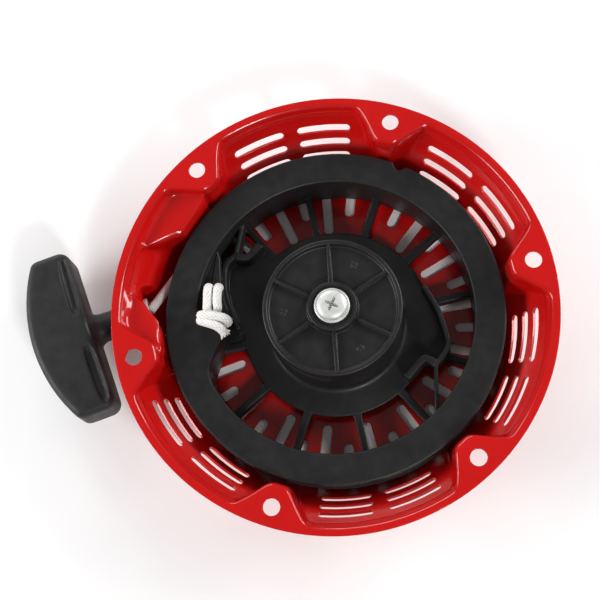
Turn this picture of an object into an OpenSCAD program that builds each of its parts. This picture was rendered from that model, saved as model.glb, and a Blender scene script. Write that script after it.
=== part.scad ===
// Recoil starter of a small petrol engine: a pressed steel housing holds a rope reel,
// a spiral recoil spring and two pawls, and the rope leaves through the wall to a grip.
// Origin: centre of the bolt circle on the mounting face. +Z points to the engine.
// The grip is pulled along -X. Millimetres.

/* [Housing] */
// Outer diameter of the mounting flange
flange_d = 187; // [186:0.5:189]
// Bolt circle diameter
bolt_pcd = 171; // [170:0.5:172]
// Number of bolt holes and lugs
bolt_count = 6; // [6:1:6]
// Bolt hole diameter, clearance for M6
bolt_hole_d = 7; // [6.6:0.1:7]
// Angle of the first bolt hole
bolt_phase = 53.3; // [53:0.1:54]
// Radius of the flat lug round a bolt hole
lug_r = 9.6; // [9:0.1:10]
// Sheet thickness
sheet = 1.2; // [1:0.1:1.4]
// Depth of the end face below the mounting face, inside
depth = 36; // [36:0.5:37]

/* [Air slots] */
// Rows of slots down the wall
wall_rows = 3; // [2:1:3]
// Width of a wall slot
wall_slot_w = 3.8; // [3:0.1:4]
// Angle that a wall slot spans
wall_slot_span = 15; // [10:1:15]
// Long slots in the end face, with a short one between each two
face_slots = 17; // [12:1:17]
// Width of a slot in the end face
face_slot_w = 4.2; // [3:0.1:4.4]

/* [Reel] */
// Outer radius of the reel
reel_r = 72.2; // [71:0.1:72.4]
// Radius of the rope groove's floor
drum_r = 61.5; // [61:0.1:62]
// Inner radius of the rope drum
ring_r = 59; // [58.5:0.1:59.2]
// Height of the reel's upper face, below the mounting face
reel_top = 10.3; // [10:0.1:11]
// Outer radius of the hub plate
plate_r = 41; // [40.5:0.1:41.5]
// Outer radius of the hub that carries the pawls
hub_r = 28.5; // [28:0.1:28.6]
// Number of spokes
spoke_count = 12; // [12:1:12]
// Thickness of a spoke
spoke_w = 3; // [2.5:0.1:3.5]

/* [Pawls and guide] */
// Distance of a pawl's pivot from the axis
pawl_pivot_r = 20; // [20:0.1:20.2]
// Length of a pawl from its pivot to its tip
pawl_len = 14.6; // [14.4:0.1:14.6]
// Swing of a pawl from its rest to its stop, degrees
pawl_swing = 36; // [34:1:36]
// Turn of the guide that swings the pawls out, degrees
guide_swing = 30; // [28:1:30]
// Outer radius of the ratchet guide
guide_r = 29.2; // [29:0.1:29.4]
// Number of ribs on the guide
guide_ribs = 6; // [4:1:8]

/* [Rope and grip] */
// Rope diameter
rope_d = 4; // [3.5:0.1:4]
// Height of the rope below the mounting face
rope_drop = 17; // [17:0.1:17.4]
// Side offset of the rope's exit and of the grip
rope_y = 31.5; // [31:0.1:32]
// Length of the grip across the pull
grip_len = 73; // [70:1:76]
// Width of the grip along the pull
grip_w = 25.5; // [25:0.5:26]
// Thickness of the grip
grip_t = 20; // [19:0.5:21]

/* [Hidden] */
$fn = 96;
eps = 0.01;

// Wall of the housing: a cone through one reference point
wall_ref = [84.2, -10.7];
wall_slope = 0.632;
wall_tilt = atan(wall_slope);
function wall_r(z) = wall_ref[0] + wall_slope * (z - wall_ref[1]);
wall_skin = sheet / cos(wall_tilt);
rim_bend = 1.5;
rim_r = 89.5;
corner_r = 6;
flange_r = flange_d / 2;
row_pitch = 7.4;
slot_gap = 5;
face_slot_out = 62;
face_slot_in = [43.4, 51.4];
face_slot_phase = 32.6;
boss_r = 13;
boss_rise = 2;
lug_draft = 1.8;
lug_depth = 26;

// Recess for the grip's stem round the rope's exit, and two pressed shelves beside it
exit_x = -76;
cup_r = 9;
shelf_drop = 5;
shelf_a = [[-37, 65], [-49, 56], [-62, 55.5], [-47, 70]];
shelf_b = [[-73, 11], [-68.6, 26.5], [-82, 30.5], [-84.5, 25]];
rope_z = -rope_drop;

// Reel levels
groove_top = -12.5;
groove_bottom = -22;
reel_bottom = -24;
drum_bottom = -33;
plate_top = -27;
plate_t = 2;
spoke_phase = 22.5;
cup_bottom = -35.3;
spring_cup_in = 38.6;
hub_top = -4;
pawl_floor = -12;
post_r = 7;
bore_r = post_r + 0.05;
rib_top = -18;
rib_w = 2.2;
pad_top = -14;
lobes = [
    [[59.5, 295.4], [47, 314.6], [48.6, 321], [49.3, 326], [47.8, 331], [45.4, 338.4], [43.8, 345],
        [41.9, 352], [40.2, 360]],
    [[59.5, 113.3], [52.4, 126.5], [54, 132], [52.4, 138], [50.2, 144], [47.6, 150], [45.2, 155.5],
        [41.6, 166]]
];
fat_legs = [
    [[47, 314.6], [43.6, 315.4], [41, 313.2], [39.6, 299.3]],
    [[52.4, 126.5], [49.6, 125.6], [47.2, 122.6], [47.2, 114.3]]
];
fat_leg_w = 3;
knot_pad = [[59.6, 130], [56.6, 132], [53.4, 138], [51.2, 144], [48.6, 150], [46.2, 155.5], [45.4, 163],
    [47.2, 168], [59.6, 176], [60, 168], [60, 160], [60, 150], [60, 140]];
knot_wing = [[60.2, 163.1], [58.4, 164], [52.6, 166.5], [47.3, 168.9], [48, 171], [58.4, 184], [60.2, 186],
    [60.4, 178], [60.4, 170], [60.4, 164]];
notch_at = [72.2, 47];
notch_r = 2.6;

// Rope: stations of the straight leads
rope_r = rope_d / 2;
wrap_r = 67.4;
lead_r = wrap_r + rope_d + 0.4;
exit_angle = 180 - atan(rope_y / -exit_x);
exit_dist = norm([exit_x, rope_y]);
leave_angle = exit_angle - acos(lead_r / exit_dist);

// Guide, screw and spindle levels
post_top = -4.2;
neck_r = 5;
neck_top = 4.7;
guide_under = -3.6;
guide_face = 0.8;
guide_plate_under = -0.6;
guide_rim_top = 3;
guide_boss_top = 4.5;
guide_boss_r = 10.6;
guide_rib_phase = 14;
washer_t = 1;
head_r = 6.4;
head_h = 3.2;

// Pawls
pawl_t = 6;
pawl_top = pawl_floor + 0.4 + pawl_t;
pawl_lie = 80;
peg_arm = 7.5;
peg_lie = 62;
peg_r = 1.5;
pawl_pin_r = 2.5;
pawl_angles = [20, 200];
spring_pocket_r = 4.9;
spring_pocket_z = -16;

// Grip
grip_inner_x = -100.6;
stem_end_x = exit_x - 2.6;
stem_r = 6.2;
knot_hole_r = 6;
knot_hole_x = -114;
grip_bow = 70;
corner_out = 3;
corner_in = 5;

function polar(r, a) = [r * cos(a), r * sin(a)];
function arc(c, r, a0, a1, n = 8) = [for (i = [0:n]) c + polar(r, a0 + (a1 - a0) * i / n)];
function spun(p, a) = [p[0] * cos(a) - p[1] * sin(a), p[0] * sin(a) + p[1] * cos(a)];

// A ring of points round each station of a path, joined into one closed tube
function along(path, i) =
    let (a = path[max(i - 1, 0)], b = path[min(i + 1, len(path) - 1)]) (b - a) / norm(b - a);
function ring_at(path, i, r, sides) =
    let (t = along(path, i), s = cross(t, abs(t[2]) > 0.9 ? [1, 0, 0] : [0, 0, 1]))
    let (u = s / norm(s), v = cross(u, t))
    [for (k = [0:sides - 1]) path[i] + r * (u * cos(360 * k / sides) + v * sin(360 * k / sides))];

module tube(path, r, sides = 8) {
    n = len(path);
    points = [for (i = [0:n - 1]) each ring_at(path, i, r, sides)];
    skin = [for (i = [0:n - 2], k = [0:sides - 1])
        [i * sides + k, i * sides + (k + 1) % sides, (i + 1) * sides + (k + 1) % sides, (i + 1) * sides + k]];
    start = [[for (k = [sides - 1:-1:0]) k]];
    finish = [[for (k = [0:sides - 1]) (n - 1) * sides + k]];
    polyhedron(points, concat(skin, start, finish), convexity = 10);
}

// A wall of constant width through a list of [radius, angle] stations
function side_step(pts, i) =
    let (t = along(pts, i), a = i > 0 ? pts[i] - pts[i - 1] : pts[1] - pts[0])
    [-t[1], t[0]] / max(0.5, t * a / norm(a));
module wall_run(stations, w, z0, z1) {
    pts = [for (s = stations) polar(s[0], s[1])];
    n = len(pts);
    translate([0, 0, z0]) linear_extrude(height = z1 - z0)
        polygon(concat([for (i = [0:n - 1]) pts[i] + side_step(pts, i) * w / 2],
            [for (i = [n - 1:-1:0]) pts[i] - side_step(pts, i) * w / 2]));
}

// Section of the housing's inner face, from the axis to the flange
function inner_section() = concat(
    [[0, -depth], [wall_r(-depth + corner_r) - corner_r / cos(wall_tilt), -depth]],
    arc([wall_r(-depth + corner_r) - corner_r / cos(wall_tilt), -depth + corner_r],
        corner_r, -90, -wall_tilt),
    [[rim_r, wall_ref[1] + (rim_r - wall_ref[0]) / wall_slope]],
    arc([rim_r + rim_bend, -rim_bend], rim_bend, 180, 90, 5)
);
function outer_section() = concat(
    [[0, -depth - sheet], [wall_r(-depth + corner_r) - corner_r / cos(wall_tilt), -depth - sheet]],
    arc([wall_r(-depth + corner_r) - corner_r / cos(wall_tilt), -depth + corner_r],
        corner_r + sheet, -90, -wall_tilt),
    [[rim_r + sheet, wall_ref[1] + (rim_r + sheet - wall_skin - wall_ref[0]) / wall_slope],
        [rim_r + sheet, -sheet], [flange_r, -sheet], [flange_r, 0]]
);

module lug_pillar(shrink, top) {
    for (i = [0:bolt_count - 1]) {
        p = polar(bolt_pcd / 2, bolt_phase + 360 * i / bolt_count);
        translate([p[0], p[1], -lug_depth - 8])
            cylinder(h = lug_depth + 8 + top, r1 = lug_r + lug_draft - shrink, r2 = lug_r - shrink);
    }
}

module shelves(shrink, top) {
    for (outline = [shelf_a, shelf_b]) {
        middle = (outline[0] + outline[1] + outline[2] + outline[3]) / 4;
        translate([0, 0, -depth])
            linear_extrude(height = depth + top)
                polygon([for (p = outline) p - shrink * 1.3 * (p - middle) / norm(p - middle)]);
    }
}

module exit_cup(r, x0, x1) {
    translate([x0, rope_y, rope_z]) rotate([0, 90, 0]) cylinder(h = x1 - x0, r = r);
}

module wall_slot(r, z, from, to) {
    rotate([0, 0, from]) rotate_extrude(angle = to - from)
        translate([r, z]) rotate(-wall_tilt) square([8, wall_slot_w], center = true);
}

module housing_blank() {
    difference() {
        rotate_extrude($fn = 180) polygon(concat(outer_section(), [[0, 0]]));
        difference() {
            rotate_extrude($fn = 180)
                polygon(concat(inner_section(), [[rim_r + rim_bend, 1], [0, 1]]));
            intersection() {
                lug_pillar(0, 0);
                translate([0, 0, -depth]) cylinder(h = depth, r = flange_r);
            }
            shelves(0, -shelf_drop);
            translate([0, 0, -depth - eps]) cylinder(h = boss_rise, r = boss_r);
        }
    }
}

// Pad pressed into the wall, square to the rope
module exit_pad() {
    difference() {
        exit_cup(cup_r + sheet, exit_x - 7, exit_x + 9);
        exit_cup(cup_r, exit_x - 9, exit_x);
        intersection() {
            translate([0, 0, -32]) cylinder(h = 30, r1 = wall_r(-32) + 0.4, r2 = wall_r(-2) + 0.4);
            translate([exit_x + sheet, 0, -40]) cube([60, 80, 40]);
        }
    }
}

module housing() {
    slot_z = [for (i = [0:wall_rows - 1]) wall_ref[1] - i * row_pitch * cos(wall_tilt)];
    color("red") difference() {
        union() {
            housing_blank();
            exit_pad();
        }
        for (i = [0:bolt_count - 1])
            rotate([0, 0, bolt_phase + 360 * i / bolt_count])
                translate([bolt_pcd / 2, 0, -sheet - 1]) cylinder(h = sheet + 2, d = bolt_hole_d);
        difference() {
            lug_pillar(sheet, -sheet);
            translate([0, 0, -depth]) cylinder(h = depth, r = reel_r + 2.2);
        }
        difference() {
            shelves(sheet, -shelf_drop - sheet);
            exit_cup(cup_r + sheet, -110, -55);
            translate([0, 0, -depth - 1]) cylinder(h = depth, r = 60);
            translate([0, 0, -depth - sheet]) cylinder(h = 12, r = flange_r);
        }
        exit_cup(cup_r, -110, exit_x);
        intersection() {
            exit_cup(cup_r, exit_x + sheet, -50);
            translate([0, 0, -depth + eps]) cylinder(h = depth, r = flange_r);
        }
        exit_cup(3.85, -90, -60);
        for (sector = [1:bolt_count - 1], z = slot_z, side = [-1, 1]) {
            middle = bolt_phase + 30 + 60 + 60 * sector + side * (slot_gap + wall_slot_span) / 2;
            wall_slot(wall_r(z), z, middle - wall_slot_span / 2, middle + wall_slot_span / 2);
        }
        for (i = [0:2 * face_slots - 1])
            rotate([0, 0, face_slot_phase + 180 * i / face_slots]) {
                r0 = face_slot_in[i % 2] + face_slot_w / 2;
                translate([r0, -face_slot_w / 2, -depth - sheet - 1])
                    cube([face_slot_out - r0, face_slot_w, sheet + 2]);
                for (r = [r0, face_slot_out])
                    translate([r, 0, -depth - sheet - 1])
                        cylinder(h = sheet + 2, d = face_slot_w, $fn = 24);
            }
        translate([0, 0, -depth - sheet - 1]) cylinder(h = 1 + boss_rise, r = boss_r - sheet);
        translate([0, 0, -depth - 5]) cylinder(h = 10, r = 5);
    }
}

module spindle() {
    seat = -depth + boss_rise;
    color("silver") difference() {
        union() {
            translate([0, 0, seat]) cylinder(h = post_top - seat, r = post_r);
            translate([0, 0, post_top - 1]) cylinder(h = neck_top - post_top + 1, r = neck_r);
            translate([0, 0, seat - sheet - eps]) cylinder(h = sheet + 1, r = 4.95);
            translate([0, 0, seat - sheet - 1.6]) cylinder(h = 1.6, r1 = 6.2, r2 = 7.5);
        }
        translate([0, 0, neck_top - 16]) cylinder(h = 17, r = 2.55);
        translate([-0.4, 0, seat + 0.2]) cube([0.8, 10, 7]);
    }
}

module rope_guide() {
    x_in = exit_x + sheet;
    color("silver") difference() {
        union() {
            exit_cup(3.8, exit_x - 1, x_in + 1);
            exit_cup(5.6, exit_x - 1, exit_x);
            exit_cup(5.6, x_in, x_in + 1);
        }
        exit_cup(2.7, exit_x - 3, x_in + 3);
        for (end = [[exit_x - 1, 0], [x_in + 1, 180]])
            translate([end[0], rope_y, rope_z]) rotate([0, 90, end[1]])
                translate([0, 0, -eps]) cylinder(h = 1.2, r1 = 3.8, r2 = 2.7);
    }
}

module setting_screw() {
    z0 = neck_top + washer_t;
    color("gainsboro") difference() {
        union() {
            translate([0, 0, neck_top - 15]) cylinder(h = 15 + washer_t + 0.5, r = 2.5);
            translate([0, 0, z0]) cylinder(h = head_h * 0.4, r = head_r);
            translate([0, 0, z0 + head_h * 0.4 - eps])
                rotate_extrude() polygon(concat([[0, 0]],
                    [for (a = [0:10:90]) [head_r * cos(a), head_h * 0.6 * sin(a)]]));
        }
        for (a = [45, 135])
            rotate([0, 0, a]) translate([-3.4, -0.65, z0 + head_h - 2]) cube([6.8, 1.3, 3]);
    }
}

module screw_washer() {
    color("gainsboro") translate([0, 0, neck_top]) difference() {
        cylinder(h = washer_t, r = 7.4);
        translate([0, 0, -1]) cylinder(h = washer_t + 2, r = 2.7);
    }
}

module reel_ring() {
    lip = 0.8;
    rotate_extrude($fn = 180) polygon(concat(
        [[ring_r, drum_bottom], [drum_r, drum_bottom], [drum_r, reel_bottom],
            [reel_r - lip, reel_bottom], [reel_r, reel_bottom + lip], [reel_r, groove_bottom - 0.4],
            [reel_r - 1, groove_bottom], [drum_r, groove_bottom], [drum_r, groove_top],
            [reel_r - 1, groove_top], [reel_r, groove_top + 0.4]],
        arc([reel_r - lip, -reel_top - lip], lip, 0, 90, 4),
        arc([ring_r + lip, -reel_top - lip], lip, 90, 180, 4)
    ));
}

module pawl_window() {
    for (a = pawl_angles)
        rotate([0, 0, a]) {
            translate([0, 0, pawl_floor]) rotate([0, 0, -17]) rotate_extrude(angle = 63)
                translate([13, 0]) square([hub_r, hub_top - pawl_floor + 1]);
            translate([pawl_pivot_r, 0, spring_pocket_z])
                cylinder(h = 6, r = spring_pocket_r, $fn = 48);
            translate([pawl_pivot_r, 0, spring_pocket_z - 5]) cylinder(h = 7, r = pawl_pin_r + 0.05);
        }
}

module reel() {
    color("dimgray") difference() {
        union() {
            reel_ring();
            translate([0, 0, plate_top - plate_t]) cylinder(h = plate_t, r = plate_r);
            translate([0, 0, cup_bottom]) cylinder(h = plate_top - cup_bottom, r = plate_r);
            translate([0, 0, plate_top - 1]) cylinder(h = hub_top - plate_top + 1, r = hub_r);
            for (i = [0:spoke_count - 1])
                rotate([0, 0, spoke_phase + 360 * i / spoke_count])
                    translate([plate_r - 1.5, -spoke_w / 2, drum_bottom])
                        cube([ring_r - plate_r + 2.5, spoke_w, plate_top - drum_bottom]);
            for (run = lobes) {
                wall_run(run, rib_w, plate_top - plate_t, rib_top);
                translate([0, 0, plate_top - plate_t]) linear_extrude(height = plate_t)
                    polygon(concat([for (s = run) if (s[0] < 56) polar(s[0], s[1])], [[0, 0]]));
            }
            for (run = fat_legs) wall_run(run, fat_leg_w, plate_top - plate_t, rib_top);
            translate([0, 0, drum_bottom]) linear_extrude(height = pad_top - drum_bottom)
                polygon([for (s = knot_pad) polar(s[0], s[1])]);
            translate([0, 0, drum_bottom]) linear_extrude(height = -reel_top - drum_bottom)
                polygon([for (s = knot_wing) polar(s[0], s[1])]);
        }
        translate([0, 0, cup_bottom - 1])
            cylinder(h = plate_top - plate_t - cup_bottom + 1, r = spring_cup_in);
        translate([0, 0, cup_bottom - 1]) cylinder(h = 40, r = bore_r);
        translate([0, 0, hub_top - 4]) difference() {
            cylinder(h = 5, r = hub_r - 2.5);
            cylinder(h = 5, r = 12);
        }
        pawl_window();
        rotate([0, 0, notch_at[1]])
            translate([notch_at[0], 0, groove_top - 1]) cylinder(h = 6, r = notch_r, $fn = 32);
        translate([0, 0, pawl_floor]) difference() {
            cylinder(h = 20, r = 13.5);
            cylinder(h = 6, r = 10);
        }
        rotate([0, 0, 140]) translate([ring_r - 6, 0, rope_z]) rotate([0, 90, 60])
            cylinder(h = 14, r = 2.4, $fn = 32);
    }
}

// Spiral strip: wound turns in the spring cup, then one free turn in to the post
module recoil_spring() {
    turns = 6;
    pitch = 1.7;
    strip = 0.5;
    out_r = spring_cup_in - 0.8;
    wound = [for (a = [0:15:360 * turns]) [out_r - pitch * a / 360, a]];
    last = wound[len(wound) - 1];
    free = [for (i = [1:24]) [last[0] + (post_r + 0.6 - last[0]) * i / 24, last[1] + 18.75 * i]];
    line = concat(wound, free);
    hook = [[-strip / 2, post_r + 0.85], [-strip / 2, 4.6], [strip / 2, 4.6], [strip / 2, post_r + 0.35]];
    color("slategray") translate([0, 0, boss_rise - depth + 0.4]) linear_extrude(height = 4.3)
        polygon(concat([for (s = line) polar(s[0] + strip / 2, s[1])], hook,
            [for (i = [len(line) - 2:-1:0]) polar(line[i][0] - strip / 2, line[i][1])]));
}

module rope_coil() {
    low = groove_bottom + 0.2;
    high = groove_top - 0.2;
    bulge = wrap_r + rope_r;
    color("white") rotate_extrude($fn = 180) polygon(concat(
        [[drum_r + 0.1, low]], arc([bulge - 2, low + 2], 2, -90, 0, 4),
        arc([bulge - 2, high - 2], 2, 0, 90, 4), [[drum_r + 0.1, high]]));
}

// End of the rope in the reel: the two strands of its neck and the knot on the pad
knot_rest = [-48.6, 16.4, -8.8];
knot_neck = [
    [[-47.9, 30.6, -12], [-48.8, 28.2, -9.8], [-50, 24.4, -9.2], [-50.6, 18.6, -9.2]],
    [[-43.3, 28.9, -12], [-44.2, 26.5, -9.8], [-45.4, 22.7, -9.2], [-47.2, 17.4, -9.2]]
];
module rope_knot_reel() {
    color("white") {
        for (strand = knot_neck) tube(strand, rope_r);
        translate(knot_rest) rotate([0, 0, -34]) scale([1.55, 1, 0.95]) sphere(r = 4.4, $fn = 24);
    }
}

module ratchet_guide() {
    color("dimgray") difference() {
        union() {
            rotate_extrude() polygon([[neck_r + 0.08, guide_plate_under], [guide_r - 2.2, guide_plate_under],
                [guide_r - 2.2, guide_under], [guide_r, guide_under], [guide_r, guide_rim_top - 0.5],
                [guide_r - 0.5, guide_rim_top], [guide_r - 1.7, guide_rim_top],
                [guide_r - 2.2, guide_rim_top - 0.5], [guide_r - 2.2, guide_face],
                [neck_r + 0.08, guide_face]]);
            difference() {
                translate([0, 0, guide_under]) cylinder(h = guide_boss_top - guide_under, r = guide_boss_r);
                translate([0, 0, guide_under - 1]) cylinder(h = 12, r = neck_r + 0.08);
            }
            for (i = [0:guide_ribs - 1])
                rotate([0, 0, guide_rib_phase + 360 * i / guide_ribs])
                    translate([guide_boss_r - 1, -0.6, guide_face - eps])
                        cube([guide_r - guide_boss_r - 0.4, 1.2, 1.8]);
            for (a = pawl_angles)
                rotate([0, 0, a + 2]) translate([0, 0, guide_under + 0.4])
                    rotate_extrude(angle = 70) translate([16.5, 0])
                        square([guide_r - 18, guide_plate_under - guide_under - 0.3]);
        }
        translate([0, 0, guide_under - 1]) difference() {
            cylinder(h = 2.6, r = guide_boss_r - 0.8);
            cylinder(h = 2.6, r = neck_r + 1);
        }
        // Cam slot: where a pawl's peg runs, seen from the guide
        for (a = pawl_angles, i = [0:16]) {
            t = i / 16;
            lie = pawl_lie + peg_lie - 80 - pawl_swing * t;
            at_peg = spun([pawl_pivot_r, 0] + polar(peg_arm, lie), a + guide_swing * t);
            translate([at_peg[0], at_peg[1], guide_under - 1])
                cylinder(h = guide_plate_under - guide_under + 1.01, r = peg_r + 0.35, $fn = 32);
        }
    }
}

// Wire clip round the guide's neck that drags on the post
module friction_spring() {
    color("silver") translate([0, 0, guide_under + 0.9]) rotate([0, 0, 25])
        rotate_extrude(angle = 310) translate([neck_r + 2.2, 0]) circle(r = 0.6, $fn = 16);
}

module pawl() {
    tip = polar(pawl_len, pawl_lie);
    heel = polar(5, pawl_lie + 180);
    peg = polar(peg_arm, pawl_lie + peg_lie - 80);
    translate([pawl_pivot_r, 0, 0]) {
        translate([0, 0, pawl_top - pawl_t]) linear_extrude(height = pawl_t)
            polygon([heel + [2.4, 0], tip + [1.2, -1.5], tip + [0.5, 0], tip + [-2.2, 0], [-4.4, 3],
                heel + [-2.8, 1.5]]);
        translate([0, 0, pawl_top - pawl_t]) cylinder(h = pawl_t, r = 4.4);
        translate([0, 0, spring_pocket_z - 4.8])
            cylinder(h = pawl_top - spring_pocket_z + 4.8, r = pawl_pin_r);
        translate([peg[0], peg[1], pawl_top - 1]) cylinder(h = guide_plate_under - pawl_top + 0.6, r = peg_r);
    }
}
module pawl_a() color("dimgray") rotate([0, 0, pawl_angles[0]]) pawl();
module pawl_b() color("dimgray") rotate([0, 0, pawl_angles[1]]) pawl();

// Torsion spring round a pawl's pin, in its pocket in the hub
module pawl_spring() {
    coil = [for (a = [0:24:1080]) [3.6 * cos(a), 3.6 * sin(a), spring_pocket_z + 0.6 + 2.7 * a / 1080]];
    translate([pawl_pivot_r, 0, 0]) tube(coil, 0.4, 6);
}
module pawl_spring_a() color("silver") rotate([0, 0, pawl_angles[0]]) pawl_spring();
module pawl_spring_b() color("silver") rotate([0, 0, pawl_angles[1]]) pawl_spring();

// Straight lead from the coil to the guide's mouth
module rope_lead_in() {
    leave = polar(lead_r, leave_angle);
    from = [leave[0], leave[1], rope_z];
    to = [exit_x + sheet + 1.4, rope_y, rope_z];
    color("white") tube([for (t = [0, 0.25, 0.5, 0.75, 0.97, 1]) from + (to - from) * t], rope_r);
}

// Rope through the guide and the grip's stem to its knot
module rope_lead_out() {
    color("white") exit_cup(rope_r, knot_hole_x - 1, exit_x + sheet);
}

module rope_knot_grip() {
    color("white") translate([knot_hole_x - 4.1, rope_y, rope_z])
        scale([0.85, 1, 1]) sphere(r = 4.6, $fn = 32);
}

module grip_washer() {
    color("silver") difference() {
        exit_cup(5.7, knot_hole_x + 0.1, knot_hole_x + 1.3);
        exit_cup(2.3, knot_hole_x - 1, knot_hole_x + 3);
    }
}

// Outline of the grip's bar: bowed outer edge, straight inner edge, rounded corners
module grip_outline() {
    half = grip_len / 2;
    lean = asin((half - corner_out) / (grip_bow - corner_out));
    bow_c = [grip_inner_x - grip_w + grip_bow, rope_y];
    out_c = bow_c + polar(grip_bow - corner_out, 180 - lean);
    in_c = [grip_inner_x - corner_in, rope_y + half - corner_in];
    low = [for (p = [out_c, in_c]) [p[0], 2 * rope_y - p[1]]];
    polygon(concat(
        arc(bow_c, grip_bow, 180 + lean, 180 - lean, 16),
        arc(out_c, corner_out, 180 - lean, 90, 5),
        arc(in_c, corner_in, 90, 0, 5),
        arc(low[1], corner_in, 0, -90, 5),
        arc(low[0], corner_out, -90, -180 + lean, 5)
    ));
}

module grip() {
    z0 = rope_z - grip_t / 2;
    groove_x = grip_inner_x - 5;
    color("dimgray") difference() {
        union() {
            translate([0, 0, z0]) linear_extrude(height = grip_t) grip_outline();
            translate([grip_inner_x - 3, rope_y, rope_z]) rotate([0, 90, 0])
                cylinder(h = stem_end_x - grip_inner_x + 3, r1 = stem_r + 1.2, r2 = stem_r - 0.4);
        }
        exit_cup(2.3, -130, -70);
        exit_cup(knot_hole_r, -135, knot_hole_x);
        exit_cup(5.8, knot_hole_x - 1, knot_hole_x + 1.4);
        for (side = [-1, 1], z = [z0 - 1, z0 + grip_t - 2])
            translate([groove_x, rope_y + side * 19.5 - 11.5, z]) cube([3.4, 23, 3]);
    }
}

housing();
spindle();
rope_guide();
setting_screw();
screw_washer();
reel();
recoil_spring();
rope_coil();
rope_knot_reel();
ratchet_guide();
friction_spring();
pawl_a();
pawl_b();
pawl_spring_a();
pawl_spring_b();
rope_lead_in();
rope_lead_out();
rope_knot_grip();
grip();
grip_washer();
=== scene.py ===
"""Looks of the recoil starter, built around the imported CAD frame.

Lengths are written in millimetres and turned into metres when a mesh is made.
"""
import math

import bmesh
import bpy
import numpy as np
from mathutils import Matrix, Vector


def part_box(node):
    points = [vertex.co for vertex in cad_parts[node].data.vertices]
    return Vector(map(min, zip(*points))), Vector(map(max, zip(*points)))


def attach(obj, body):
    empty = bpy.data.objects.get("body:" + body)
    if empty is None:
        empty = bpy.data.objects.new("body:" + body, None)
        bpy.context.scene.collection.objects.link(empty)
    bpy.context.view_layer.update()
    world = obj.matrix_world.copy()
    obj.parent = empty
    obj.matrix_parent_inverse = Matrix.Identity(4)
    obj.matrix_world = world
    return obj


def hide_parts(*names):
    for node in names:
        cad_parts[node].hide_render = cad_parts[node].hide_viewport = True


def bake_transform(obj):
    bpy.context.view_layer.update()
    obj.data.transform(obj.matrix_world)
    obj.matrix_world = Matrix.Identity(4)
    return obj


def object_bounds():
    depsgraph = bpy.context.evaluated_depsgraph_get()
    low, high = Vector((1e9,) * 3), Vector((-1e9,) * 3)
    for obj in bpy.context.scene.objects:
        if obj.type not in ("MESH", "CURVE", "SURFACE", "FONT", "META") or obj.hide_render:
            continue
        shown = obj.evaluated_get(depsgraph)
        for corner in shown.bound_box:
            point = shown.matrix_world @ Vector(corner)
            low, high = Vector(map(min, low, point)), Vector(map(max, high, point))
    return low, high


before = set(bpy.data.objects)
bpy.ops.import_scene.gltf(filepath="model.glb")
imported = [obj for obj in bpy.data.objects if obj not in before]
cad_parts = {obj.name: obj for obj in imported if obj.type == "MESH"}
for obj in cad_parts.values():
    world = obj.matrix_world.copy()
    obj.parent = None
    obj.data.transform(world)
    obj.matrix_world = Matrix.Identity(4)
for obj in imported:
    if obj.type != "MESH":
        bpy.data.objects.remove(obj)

CAD_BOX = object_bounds()
MM = 0.001
rng = np.random.default_rng(7)

# ------------------------------------------------------------------ sizes, which follow the CAD model
# Housing: flange, end face, bolt holes, the wall's radius at a height and its taper
FLANGE_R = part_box("housing")[1].x / MM
FLOOR_Z = CAD_BOX[0].z / MM
SHEET, DEPTH, CORNER_R = 1.2, 36.0, 6.0
BOLT_R, HOLE_R, BOLT_PHASE = 85.5, 3.5, 53.3
WALL_R, WALL_Z, WALL_SLOPE = 84.2, -10.7, 0.632
WALL_TILT = math.degrees(math.atan(WALL_SLOPE))
RIM_R, RIM_BEND, FLANGE_EDGE = 89.6, 2.2, 0.9
# Tongues at the bolt holes: reach inward, half width at the rim and at the tip, draft below
LUG_REACH, LUG_HALF, LUG_TIP, LUG_DRAFT = 13.9, 14.8, 4.6, 0.09
# Pressed shelves: height, and how far their edge rolls over
SHELF_Z, SHELF_ROLL = -5.0, 1.3
# Boss pressed inward in the end face: radius and rise, down to the post's hole
BOSS_STEP = [(14.2, 0.25), (13.2, 1.0), (12.2, 1.75), (11, 2), (6.5, 2)]
# Slots in the wall: rows, their spacing, degrees from a sector's middle, half length in degrees, half width
WALL_ROWS, ROW_PITCH, SLOT_TURN, SLOT_ARC, SLOT_HALF = 3, 7.4, 10, 7.5, 1.9
# Slots in the end face: number, first angle, inner radii in turn, outer radius, half width
FACE_SLOTS, FACE_PHASE, FACE_IN, FACE_OUT, FACE_HALF = 34, 32.6, (43.4, 51.4), 64.1, 2.1
# Where the rope leaves through the wall, and the pad pressed round that hole
EXIT = Vector((-76.0, 31.5, -17.0))
EXIT_HOLE, PAD_IN, PAD_OUT = 3.85, 8.6, 13.5
# Reel: groove, flanges, plate, hub and spokes
REEL_R, DRUM_R, RING_R, RING_LIP = 72.2, 61.5, 59.0, 1.1
REEL_TOP, GROOVE_TOP, GROOVE_BOTTOM, REEL_BOTTOM, DRUM_BOTTOM = -10.3, -12.5, -22.0, -24.0, -33.0
PLATE_R, PLATE_TOP, PLATE_T = 41.0, -27.0, 2.0
PLATE_UNDER = PLATE_TOP - PLATE_T
CUP_IN, CUP_BOTTOM = 38.6, -35.3
HUB_R, HUB_IN, HUB_TOP, HUB_FLOOR, HUB_BORE, HUB_FILLET = 28.5, 26.0, -4.0, -12.0, 12.0, 2.8
SPOKES, SPOKE_PHASE = 12, 22.5
LOBE_TOP, KNOT_FLOOR_TOP = -18.0, -14.0
# The reel's windows for the pawls, and the guide's pockets for their pegs, in degrees
PAWL_WINDOWS = [(3, 66), (183, 246)]
PEG_POCKETS = [(39, 61.5), (219, 241.5)]
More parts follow.
